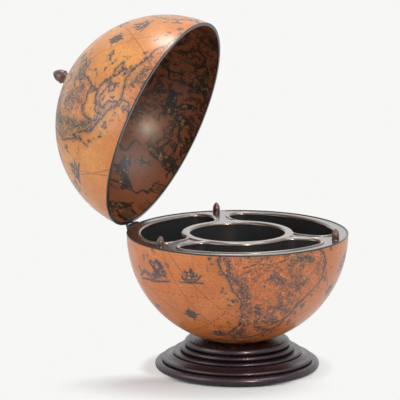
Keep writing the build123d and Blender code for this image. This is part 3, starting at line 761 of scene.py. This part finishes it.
@effect("Handling wear", ("Smudge", "Dust", "Scratch"))
def handling_wear(sheet, given):
    """Handling marks on a smooth finish: smudges, dust specks and fine scratches."""
    drawn = sheet.mapped((0.04, 1.6, 1.6), (0.3, 0.2, 0.7))
    return {
        "Smudge": sheet.noise(0.03, 4.0, 0.6, 0.8),
        "Dust": sheet.cells(0.35).fall(0.03, 0.08),
        "Scratch": sheet.noise(1.0, 2.0, at=drawn).rise(0.68, 0.74),
    }


def surface(name):
    """New material: gives it, its sheet and its Principled shader."""
    material = bpy.data.materials.new(name)
    material.use_nodes = True
    return material, Sheet(material.node_tree), material.node_tree.nodes["Principled BSDF"]


def finish(material, *names):
    """Gives CAD nodes their material."""
    for name in names:
        mesh = nodes[name].data
        mesh.materials.clear()
        mesh.materials.append(material)


# ---------------------------------------------------------------- materials
def map_material(look):
    """Antique style printed map under lacquer, drawn from the coast, relief, river and figure fields."""
    material, sheet, shader = surface("printed_map")
    sheet.where = sheet.attribute("globe", "Vector")
    mix, noise = sheet.mix, sheet.noise
    x, y, height = sheet.axes(sheet.where)
    depth = sheet.attribute("figure")
    paper = aged_paper(sheet)

    # the ragged coast, with islets close inshore
    coast = sheet.attribute("coast")
    islets = 60.0 * (noise(0.075) - 0.64) + coast.rise(-42.0, -20.0, -30.0, 0.0)
    ragged = 17.0 * (noise(0.045, 5.0, 0.62) - 0.5) + coast + 9.0 * (noise(0.16, 4.0, 0.7) - 0.5)
    coast = ragged.most(islets)
    land = coast.rise(-0.4, 0.4)
    sea = 1.0 - land
    away = abs(coast)

    # ground colours
    ocean = mix(paper["Stain"].rise(0.35, 0.7), look.ocean, look.ocean_light)
    # painted light and shade: the sea's colour goes from darker and redder low on the bowl to lighter and
    # yellower on the lid
    ocean = sheet.toned(ocean, mix(height.rise(-20.0, 60.0), look.south_painted_shade, look.north))
    tint = noise(0.010, 2.0, 0.5)
    cool = mix(tint.rise(0.37, 0.53), look.land_olive, look.land_rose)
    warm = mix(tint.rise(0.55, 0.7), look.land_red, look.land_olive)
    ground = mix(height.rise(-30.0, 60.0), warm, cool)
    ground = mix(0.45 * coast.fall(0.0, 16.0), ground, look.ocean)
    colour = sheet.toned(mix(land, ocean, ground), paper["Speckle"] * (1.2 * land + 1.4) + 1.0)
    broken = noise(0.26, 4.0, 0.75).rise(0.30, 0.58)
    colour = mix(0.72 * away.fall(0.8, 6.0) * broken, colour, look.wash)

    # relief: woods, hills, folds, mountain ranges, borders and rivers
    wooded = noise(0.030, 5.0, 0.68).rise(0.49, 0.56)
    marks = noise(0.24, 3.0, 0.75).rise(-0.12 * wooded + 0.635, -0.07 * wooded + 0.67) * land
    folds = abs(noise(0.085, 4.0, 0.6) - 0.5).fall(0.014, 0.040) * land * (0.6 * wooded + 0.4)
    forest = wooded * noise(0.10, 5.0, 0.72).rise(0.44, 0.56) * land
    colour = mix(0.60 * forest, colour, look.wash)
    ranges = (12.0 * noise(0.09) + sheet.attribute("relief")).fall(9.0, 17.0)
    hills = abs(sheet.cells(0.16) - 0.42).fall(0.03, 0.11) * land * (0.7 * ranges + 0.3)
    shade = ranges * land * noise(0.2, 4.0, 0.7).rise(0.4, 0.6)
    colour = mix(0.80 * shade, colour, look.wash)
    peaks = shade * noise(0.42, 2.0).rise(0.46, 0.56)
    dots = noise(0.5, 1.0).rise(0.42, 0.5)
    border = sheet.cells(0.021, "DISTANCE_TO_EDGE").fall(0.010, 0.024) * dots * land
    river = (5.0 * noise(0.12) + sheet.attribute("river") - 2.5).fall(0.3, 1.3) * land

    # sea: hatching along the coast, short level dashes, and a halo round each figure
    stripes = (3.6 * height).sine().rise(-0.2, 0.5)
    hatch = stripes * coast.rise(-9.0, -1.0) * sea
    strokes_at = sheet.mapped((0.25, 0.25, 2.2))
    dashes = (1.05 * height).sine().rise(0.80, 0.93) * noise(0.9, 2.0, at=strokes_at).rise(0.55, 0.59) * sea
    figure = engraving(sheet, Depth=depth, Shade=0.47)
    halo = (8.0 * noise(0.12) + depth - 4.0).rise(-3.6, -0.6)
    colour = mix((0.34 * halo).most(0.62 * figure["Body"]), colour, look.wash)

    flat = sheet.vector("LENGTH", sheet.vector("MULTIPLY", sheet.where, (1.0, 1.0, 0.0)))
    grid = graticule(sheet, sheet.math("ARCTAN2", y, x), sheet.math("ARCTAN2", height, flat), flat)
    ink = away.fall(0.7, 1.7).most(
        0.80 * marks, 0.66 * folds, hills, 0.85 * peaks, 0.5 * border, river,
        0.6 * grid, 0.35 * hatch, 0.50 * dashes, 0.85 * figure["Ink"],
    )
    worn = noise(0.7, 2.0).rise(0.25, 0.5)
    sheet.fill(shader, {
        "Base Color": mix(ink * (0.25 * worn + 0.70), colour, look.ink),
        "Roughness": 0.10 * paper["Stain"] + 0.38,
        "Specular IOR Level": 0.25,
        "Coat Weight": 0.60,
        "Coat Roughness": 0.24,
    })
    sheet.bump(shader, paper["Height"], 0.25, 0.0006)
    return material


def graticule(sheet, lon, lat, flat):
    """Map lines: faint meridians and parallels each 30 degrees, dashed tropics and dashed sailing
    courses, which are the great circles square to some directions."""
    radius = 1000 * shell_radius
    line_width, spacing, tropic_at = 0.7, math.radians(30), math.radians(23.44)
    courses = (
        (0.62, 0.35, -0.70), (0.30, 0.86, -0.41), (-0.55, 0.62, 0.56), (0.81, -0.31, 0.50),
        (-0.2, -0.75, 0.63),
    )

    def near_line(value, reach):
        """1 on lines at each multiple of the spacing; reach is mm per unit of the value."""
        return (sheet.math("PINGPONG", value, spacing / 2) * reach).fall(line_width / 2, line_width)

    tropics = (abs(abs(lat) - tropic_at) * radius).fall(0.5, 1.1) * (90.0 * lon).sine().rise(-0.2, 0.1)
    lines = (0.55 * near_line(lat, radius).most(near_line(lon, flat))).most(tropics)
    dash = 1.1 * sheet.along((1.3, 1.2, 1.5)).sine().rise(-0.5, 0.0)
    for normal in courses:
        lines = lines.most(abs(sheet.along(normal)).fall(0.7, 1.5) * dash)
    return lines


def chart_material(look):
    """Star chart inside the lid: brown ground, dark figures with ochre lights, a gloss lacquer."""
    material, sheet, shader = surface("star_chart")
    sheet.where = sheet.attribute("globe", "Vector")
    mix, noise = sheet.mix, sheet.noise
    paper = aged_paper(sheet)
    figure = engraving(sheet, Depth=sheet.attribute("figure"), Shade=0.55)
    ground = mix(paper["Stain"].rise(0.3, 0.75), look.chart, tuple(1.25 * c for c in look.chart))
    ground = sheet.toned(ground, 0.8 * paper["Speckle"] + 1.0)
    lights = mix(noise(0.06).rise(0.42, 0.6), look.chart, look.chart_gold)
    stars = sheet.cells(0.045).fall(0.05, 0.075)
    crowded = (90.0 * noise(0.02, 2.0) + sheet.along(look.crowd)).rise(60.0, 200.0)
    patches = noise(0.085, 5.0, 0.70).rise(-0.23 * crowded + 0.74, -0.22 * crowded + 0.76)
    ink = figure["Ink"].most(0.6 * stars, 0.8 * patches)
    sheet.fill(shader, {
        "Base Color": mix(0.93 * ink, mix(figure["Body"], ground, lights), look.chart_ink),
        "Roughness": 0.12 * paper["Stain"] + 0.26,
        "Specular IOR Level": 0.35,
    })
    sheet.bump(shader, paper["Height"], 0.2, 0.0006)
    return material


def wood_material(name, dark, light, scale, coat, roughness, rings=0.12, pores=0.6, gloss=(1.0, 1.0, 1.0)):
    """Stained wood with grain and pores; coat is the lacquer's weight and gloss tints its reflections."""
    material, sheet, shader = surface(name)
    sheet.where = sheet.object_space(scale)
    grain = wood_grain(sheet, Rings=rings, Pores=pores)
    wear = handling_wear(sheet, Vector=sheet.object_space())
    colour = sheet.mix(grain["Grain"], dark, light)
    colour = sheet.mix(0.6 * grain["Open pores"], colour, tuple(0.4 * c for c in dark))
    sheet.fill(shader, {
        "Base Color": sheet.mix(0.08 * wear["Dust"], colour, (0.5, 0.47, 0.43)),
        "Roughness": 0.14 * wear["Smudge"] + (roughness - 0.07),
        "Specular Tint": gloss,
        "Coat Weight": coat,
        "Coat Roughness": 0.12,
    })
    sheet.bump(shader, grain["Height"] - 0.2 * wear["Scratch"], 0.12, 0.0003)
    return material


def plastic_material(name, dark, light, roughness, coat, texture, ior=1.5, coat_roughness=0.15, paint=None):
    """Moulded or painted plastic with a faint moulding texture and handling marks; paint, if given,
    changes its colour by place."""
    material, sheet, shader = surface(name)
    sheet.where = sheet.object_space()
    wear = handling_wear(sheet)
    colour = sheet.mix(wear["Smudge"].rise(0.35, 0.7), dark, light)
    colour = paint(sheet, colour) if paint else colour
    sheet.fill(shader, {
        "Base Color": sheet.mix(0.10 * wear["Dust"], colour, (0.55, 0.52, 0.48)),
        "Roughness": 0.16 * wear["Smudge"] + (roughness - 0.08),
        "IOR": ior,
        "Coat Weight": coat,
        "Coat Roughness": coat_roughness,
    })
    sheet.bump(shader, sheet.noise(0.9, 2.0, 0.6) - 0.3 * wear["Scratch"], texture, 0.0002)
    return material


def tray_material(look):
    """Moulded tray: near-black wells lightened as a painted sheen, a brown deck and rolled lips with a
    painted highlight. The painted highlight goes where the surface near the deck's height slopes, or stands
    above the deck."""
    deck = 1000 * band_high.z

    def paint(sheet, brown):
        height = sheet.axes(sheet.where)[2]
        slope = sheet.axes(sheet.take("Normal", "ShaderNodeNewGeometry"))[2].fall(0.90, 0.99)
        # painted highlight on the rolled lips: a lighter colour where the surface slopes near the deck's
        # height or stands above it
        lip_highlight = (slope * height.rise(deck - 4.0, deck - 2.6)).most(height.rise(deck - 0.7, deck - 0.1))
        # below the deck: the wells' near-black colour, lightened as a painted sheen
        colour = sheet.mix(height.rise(deck - 9.0, deck - 3.5), look.well_black_and_sheen, brown)
        return sheet.mix(lip_highlight, colour, look.lip_highlight)

    return plastic_material("tray_moulding", look.deck, look.deck_light, 0.24, 1.0, 0.25, 1.7, 0.20, paint)


def steel_material(name, colour, roughness):
    """Plated steel with drawn lines and a few tarnish spots."""
    material, sheet, shader = surface(name)
    sheet.where = sheet.object_space()
    drawn = sheet.noise(2.2, 3.0, 0.6, at=sheet.object_space((0.12, 1.0, 1.0)))
    spots = sheet.noise(0.25, 4.0, 0.6).rise(0.56, 0.72)
    sheet.fill(shader, {
        "Base Color": sheet.mix(spots, colour, tuple(0.55 * c for c in colour)),
        "Roughness": 0.2 * drawn + (roughness - 0.1) + 0.1 * handling_wear(sheet)["Smudge"],
        "Metallic": -0.25 * spots + 1.0,
    })
    sheet.bump(shader, drawn, 0.1, 0.0001)
    return material


def felt_material():
    """Dark green felt with short fibres."""
    material, sheet, shader = surface("felt")
    sheet.where = sheet.object_space()
    fibre = sheet.noise(1.4, 5.0, 0.75, 1.5)
    sheet.fill(shader, {
        "Base Color": sheet.mix(fibre.rise(0.35, 0.7), (0.014, 0.024, 0.016), (0.045, 0.065, 0.045)),
        "Roughness": 0.95,
        "Sheen Weight": 0.5,
    })
    sheet.bump(shader, fibre, 0.6, 0.0006)
    return material


# ---------------------------------------------------------------- operators
class GLOBEBAR_OT_map_skins(bpy.types.Operator):
    """Cover bowl and lid with the printed map"""

    bl_idname = "globebar.map_skins"
    bl_label = "Printed map"

    def execute(self, context):
        look = context.scene.globebar_map
        material = map_material(look)
        inner, outer = shell_radius + clearance, shell_radius + look.paper
        for name, body, side, rim, hole, matrix in (
            ("bowl_map", "bowl_stand", -1, bowl_rim, bowl_bolt_hole, np.eye(4)),
            ("lid_map", "lid", 1, lid_rim, lid_screw_hole, swing(-open_angle)),
        ):
            profile = half_globe(outer, inner, rim - rest_height, hole, side, look.down)
            skin, local = ring_skin(name, profile, look.around, globe_centre, matrix)
            where = local / np.linalg.norm(local, axis=1)[:, None]
            globe = look.map_turn, outer
            store(skin.data, "globe", local * 1000)
            store(skin.data, "coast", coast_field(where, *globe))
            store(skin.data, "relief", lines_field(where, chains, *globe))
            store(skin.data, "river", lines_field(where, rivers, *globe))
            store(skin.data, "figure", figure_field(where, map_figures, *globe))
            skin.data.materials.append(material)
            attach(skin, body)
        board = plastic_material("shell_board", (0.30, 0.18, 0.10), (0.38, 0.24, 0.14), 0.7, 0.0, 0.4)
        finish(board, "bowl_shell", "lid_shell")
        return {"FINISHED"}


class GLOBEBAR_OT_chart_lining(bpy.types.Operator):
    """Line the lid with the star chart"""

    bl_idname = "globebar.chart_lining"
    bl_label = "Star chart lining"

    def execute(self, context):
        look = context.scene.globebar_map
        outer = shell_radius - shell_wall - clearance
        inner = outer - look.lining
        profile = half_globe(inner, outer, lid_rim - rest_height, lining_screw_hole, 1, look.down)
        skin, local = ring_skin("lid_lining", profile, look.around, globe_centre, swing(-open_angle))
        where = local / np.linalg.norm(local, axis=1)[:, None]
        store(skin.data, "globe", local * 1000)
        store(skin.data, "figure", figure_field(where, chart_figures, 0.0, inner, lining_swell))
        skin.data.materials.append(chart_material(look))
        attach(skin, "lid")
        return {"FINISHED"}


class GLOBEBAR_OT_base_finish(bpy.types.Operator):
    """Lacquer the turned base and lay its felt"""

    bl_idname = "globebar.base_finish"
    bl_label = "Base"

    def execute(self, context):
        wood, even = context.scene.globebar_wood, (1.0, 1.0, 1.0)
        lacquered = wood_material(
            "lacquered_base", wood.dark, wood.light, even, 0.10, 0.28, pores=0.2, gloss=wood.gloss
        )
        finish(lacquered, "base_plinth", "base_step", "base_cap", "hinge_block")
        finish(wood_material("lid_pad", wood.pad_dark, wood.pad_light, even, 0.0, 0.45), "lid_block")
        finish(felt_material(), "base_felt")
        return {"FINISHED"}


class GLOBEBAR_OT_rim_finish(bpy.types.Operator):
    """Finish the two rim bands"""

    bl_idname = "globebar.rim_finish"
    bl_label = "Rim bands"

    def execute(self, context):
        band = plastic_material("rim_band", (0.012, 0.0125, 0.014), (0.022, 0.022, 0.024), 0.30, 0.4, 0.15)
        finish(band, "bowl_rim_band", "lid_rim_band")
        return {"FINISHED"}


class GLOBEBAR_OT_tray_finish(bpy.types.Operator):
    """Finish the moulded tray"""

    bl_idname = "globebar.tray_finish"
    bl_label = "Tray"

    def execute(self, context):
        finish(tray_material(context.scene.globebar_tray), "tray")
        return {"FINISHED"}


class GLOBEBAR_OT_turned_trim(bpy.types.Operator):
    """Finish the pegs, the knob and its collar"""

    bl_idname = "globebar.turned_trim"
    bl_label = "Pegs and knob"

    def execute(self, context):
        wood, fine = context.scene.globebar_wood, (1.6, 1.6, 1.6)
        trim = wood_material("turned_trim", wood.knob_dark, wood.knob_light, fine, 0.35, 0.36, 0.3, 0.8)
        finish(trim, "guide_pegs", "finial_knob")
        collar = plastic_material("collar", (0.17, 0.115, 0.11), (0.22, 0.15, 0.145), 0.4, 0.2, 0.2)
        finish(collar, "finial_collar")
        return {"FINISHED"}


class GLOBEBAR_OT_fittings(bpy.types.Operator):
    """Finish the hinge, the fasteners and the inner wood"""

    bl_idname = "globebar.fittings"
    bl_label = "Hinge and fasteners"

    def execute(self, context):
        wood, plies = context.scene.globebar_wood, (1.0, 1.0, 3.0)
        bronzed = steel_material("bronzed_steel", (0.075, 0.055, 0.045), 0.38)
        finish(bronzed, "lid_bracket", "hinge_pin", "stop_pin", "lid_bracket_screws")
        steel = steel_material("plated_steel", (0.50, 0.50, 0.51), 0.32)
        finish(steel, "centre_bolt", "centre_nut", "base_washer", "nut_washer", "finial_washer")
        bright = steel_material("bright_steel", (0.62, 0.61, 0.60), 0.24)
        finish(bright, "base_screws", "hinge_block_screws", "finial_screw", "peg_studs")
        inner = wood_material("inner_ply", wood.inner_dark, wood.inner_light, plies, 0.0, 0.6, 0.3, 0.5)
        finish(inner, "clamp_disc", "tray_ring")
        return {"FINISHED"}


def area_lamp(name, place, aim, size, power, colour=(1.0, 1.0, 1.0), gloss_only=False):
    """Square area lamp that faces a point: its +Z axis is the direction from the point to the lamp."""
    data = bpy.data.lights.new(name, "AREA")
    data.shape, data.size, data.energy, data.color = "SQUARE", size, power, colour
    lamp = bpy.data.objects.new(name, data)
    bpy.context.scene.collection.objects.link(lamp)
    lamp.location = place
    lamp.rotation_euler = (lamp.location - type(lamp.location)(aim)).to_track_quat("Z", "Y").to_euler()
    lamp.visible_diffuse = not gloss_only


class GLOBEBAR_OT_stage(bpy.types.Operator):
    """Set the floor, the lamps and the camera"""

    bl_idname = "globebar.stage"
    bl_label = "Stage"

    def execute(self, context):
        view, scene = context.scene.globebar_stage, context.scene
        scene.view_settings.view_transform = "Standard"
        up = np.array([0.0, 0.0, 1.0])
        toward = np.array([math.cos(view.bearing), math.sin(view.bearing), 0.0])
        axes = np.array([toward, np.cross(toward, up), up])

        data = bpy.data.cameras.new("camera")
        data.lens, data.sensor_width, data.clip_end = view.lens, 36.0, 100.0
        camera = bpy.data.objects.new("camera", data)
        scene.collection.objects.link(camera)
        camera.location = (view.distance, 0.0, view.height) @ axes
        camera.rotation_euler = (math.pi / 2 - view.pitch, 0.0, view.bearing + view.yaw + math.pi / 2)
        scene.camera = camera
        self.floor(view, axes)
        self.world(view)

        # places are (toward the camera, to the left of the picture, up) in metres
        area_lamp("key_lamp", (1.0, -1.3, 2.4) @ axes, bar_middle, 1.8, 33.0)
        area_lamp("left_lamp", (1.0, 1.9, 1.1) @ axes, bar_middle, 1.6, 18.0)
        area_lamp("top_lamp", (-0.3, -0.5, 2.6) @ axes, bar_middle, 1.3, 22.0)
        glow = lining_glow + (2.73, -1.062, 0.651) @ axes
        area_lamp("glow_lamp", glow, lining_glow, 0.24, 54.0, (1.0, 0.74, 0.56), gloss_only=True)
        sheen = lid_crest + (-0.6622, 0.0352, 2.0966) @ axes
        area_lamp("sheen_lamp", sheen, lid_crest, 0.6, 18.0, gloss_only=True)
        return {"FINISHED"}

    def floor(self, view, axes):
        """Round floor. The camera sees it with a share of the backdrop's colour, the lesser of two smooth
        steps: one of sqrt((flatness * ahead)^2 + beside^2) from the middle of the shade, and one of the
        distance from the middle of the foot."""
        turn = np.linspace(0.0, 2 * math.pi, 96, endpoint=False)
        ring = floor_radius * np.stack([np.cos(turn), np.sin(turn), 0 * turn], -1)
        mesh = bpy.data.meshes.new("floor")
        mesh.from_pydata(ring.tolist(), [], [tuple(range(len(turn)))])
        floor = bpy.data.objects.new("floor", mesh)
        bpy.context.scene.collection.objects.link(floor)
        material, sheet, shader = surface("floor")
        place = sheet.take("Object", "ShaderNodeTexCoord")
        foot = sheet.vector("LENGTH", place).rise(view.foot_near, view.foot_far, view.foot_lift, 1.0)
        middle = (view.shade_toward, view.shade_left, 0.0) @ axes
        sheet.where = sheet.vector("SUBTRACT", place, tuple(middle))
        ahead, beside = sheet.along(view.shade_flat * axes[0]), sheet.along(axes[1])
        away = sheet.math("SQRT", ahead * ahead + beside * beside).rise(view.shade_near, view.shade_far)
        rays = sheet.values("ShaderNodeLightPath")
        colour = sheet.mix(rays["Is Diffuse Ray"], view.floor, view.bounce)
        sheet.fill(shader, {"Base Color": colour, "Roughness": 0.9, "Specular IOR Level": 0.2})
        glow = sheet.add("ShaderNodeEmission", {"Color": view.backdrop})
        share = sheet.math("MINIMUM", away, foot) * rays["Is Camera Ray"]
        sheet.blend(share, shader, glow, "Material Output")
        mesh.materials.append(material)

    def world(self, view):
        """Plain surroundings: soft light for the object, the backdrop's colour for camera and gloss."""
        world = bpy.data.worlds.new("surroundings")
        bpy.context.scene.world = world
        world.use_nodes = True
        sheet, soft = Sheet(world.node_tree), world.node_tree.nodes["Background"]
        sheet.fill(soft, {"Color": (1.0, 1.0, 1.0), "Strength": view.soft_light})
        seen = sheet.add("ShaderNodeBackground", {"Color": view.backdrop})
        rays = sheet.values("ShaderNodeLightPath")
        share = rays["Is Camera Ray"].most(rays["Is Glossy Ray"], rays["Is Transmission Ray"])
        sheet.blend(share, soft, seen, "World Output")


steps = (
    GLOBEBAR_OT_map_skins,
    GLOBEBAR_OT_chart_lining,
    GLOBEBAR_OT_base_finish,
    GLOBEBAR_OT_rim_finish,
    GLOBEBAR_OT_tray_finish,
    GLOBEBAR_OT_turned_trim,
    GLOBEBAR_OT_fittings,
    GLOBEBAR_OT_stage,
)

settings_of = {
    "globebar_map": GlobeMapSettings,
    "globebar_wood": WoodSettings,
    "globebar_tray": TraySettings,
    "globebar_stage": StageSettings,
}


class GLOBEBAR_PT_panel(bpy.types.Panel):
    """Lists the globe bar's steps in the sidebar"""

    bl_idname = "GLOBEBAR_PT_panel"
    bl_label = "Globe Bar"
    bl_space_type = "VIEW_3D"
    bl_region_type = "UI"
    bl_category = "Globe Bar"

    def draw(self, context):
        for step in steps:
            self.layout.operator(step.bl_idname)
        for group in settings_of:
            settings = getattr(context.scene, group)
            box = self.layout.box()
            for name in settings.bl_rna.properties.keys():
                if name not in ("rna_type", "name"):
                    box.prop(settings, name)


def register():
    """Registers the settings, the steps and the panel."""
    for name, settings in settings_of.items():
        bpy.utils.register_class(settings)
        setattr(bpy.types.Scene, name, bpy.props.PointerProperty(type=settings))
    for step in (*steps, GLOBEBAR_PT_panel):
        bpy.utils.register_class(step)


def unregister():
    """Takes back what register() added."""
    for step in reversed((*steps, GLOBEBAR_PT_panel)):
        bpy.utils.unregister_class(step)
    for name, settings in settings_of.items():
        delattr(bpy.types.Scene, name)
        bpy.utils.unregister_class(settings)


def main():
    """Registers the add-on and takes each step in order."""
    register()
    for step in steps:
        category, name = step.bl_idname.split(".")
        getattr(getattr(bpy.ops, category), name)()


if __name__ == "__main__":
    main()
